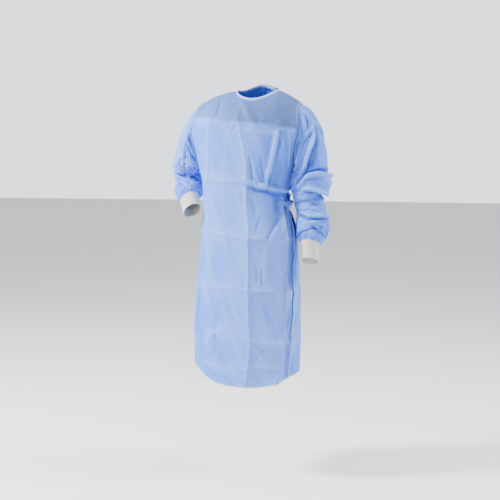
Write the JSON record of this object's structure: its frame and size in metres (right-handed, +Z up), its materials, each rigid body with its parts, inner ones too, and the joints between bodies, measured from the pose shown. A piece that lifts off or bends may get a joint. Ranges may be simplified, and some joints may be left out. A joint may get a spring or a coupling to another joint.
{
  "type": "surgical gown",
  "caption": "Long surgical gown in its worn form: wrap-over back, set-in sleeves with knit cuffs, bound neck and a waist tie at the left side.",
  "frame": {"origin": "midway between the shoulders, at the height where the shoulder seams meet the neck, where a wearer carries the gown", "axes": "+Z up, -Y towards the gown's front, +X towards the wearer's left"},
  "size_m": [0.6989, 0.3347, 1.2028],
  "materials": {
    "nonwoven": "light blue nonwoven, matt with a soft sheen and sharp packing creases",
    "neck_band": "folded binding of the same nonwoven, a little paler",
    "ties": "deeper blue nonwoven tape",
    "knit_cuff": "cream rib knit"
  },
  "bodies": {
    "root": {"front_panel": "nonwoven", "back_wrap": "nonwoven", "back_under": "nonwoven", "sleeve_left": "nonwoven", "sleeve_right": "nonwoven", "cuff_left": "knit_cuff", "cuff_right": "knit_cuff", "neck_binding": "neck_band", "neck_tab": "ties", "tie_back": "ties", "tie_front": "ties", "tie_knot": "ties", "tie_tail_front": "ties", "tie_tail_back": "ties"}
  },
  "joints": []
}
